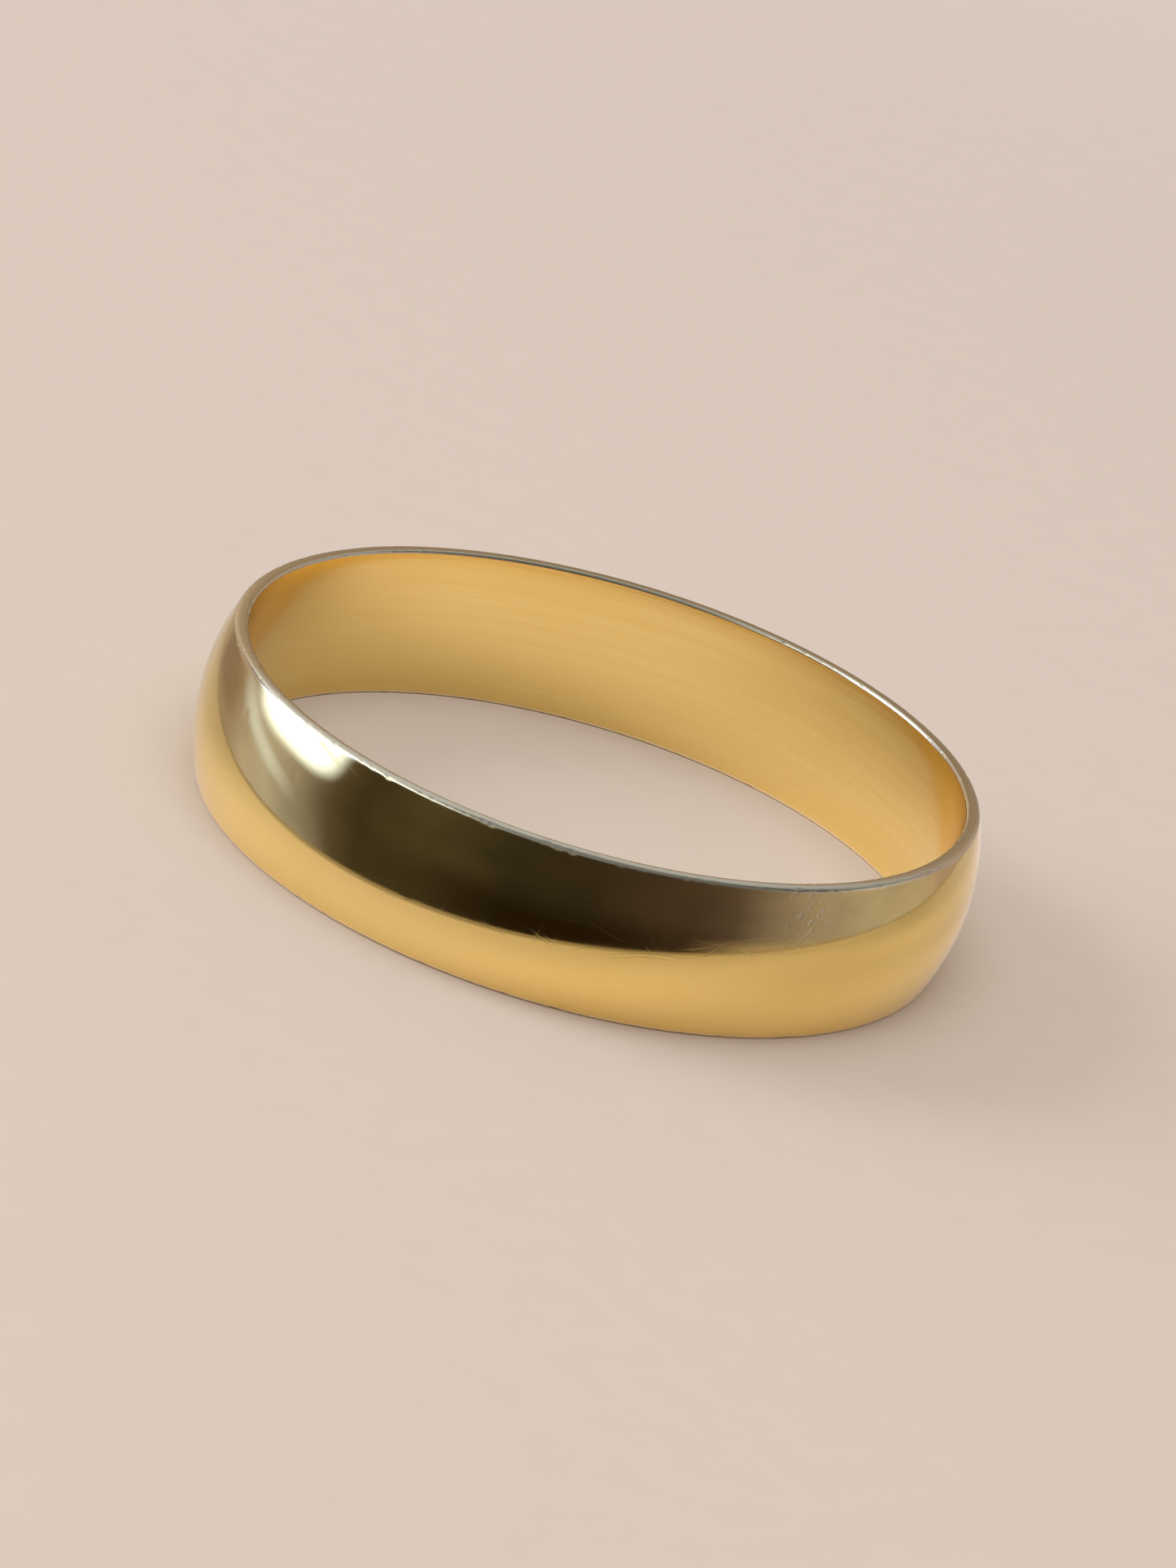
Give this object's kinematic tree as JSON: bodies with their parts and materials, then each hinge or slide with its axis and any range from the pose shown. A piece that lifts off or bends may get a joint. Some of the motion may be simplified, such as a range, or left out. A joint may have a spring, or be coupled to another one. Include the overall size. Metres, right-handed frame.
{
  "type": "wedding band",
  "caption": "Plain polished gold wedding band, flat inside and gently domed outside, worn on a finger or rested on its edge.",
  "frame": {"origin": "on the finger hole's axis, in the plane of the edge that the band rests on", "axes": "+Z along the finger hole's axis, from the lower edge to the upper one; the band is round, so X and Y are free"},
  "size_m": [0.0196, 0.0196, 0.004],
  "materials": {
    "yellow_gold": "high polish outside with fine wear, softer turned finish in the finger hole"
  },
  "bodies": {
    "root": {"band": "yellow_gold"}
  },
  "joints": []
}
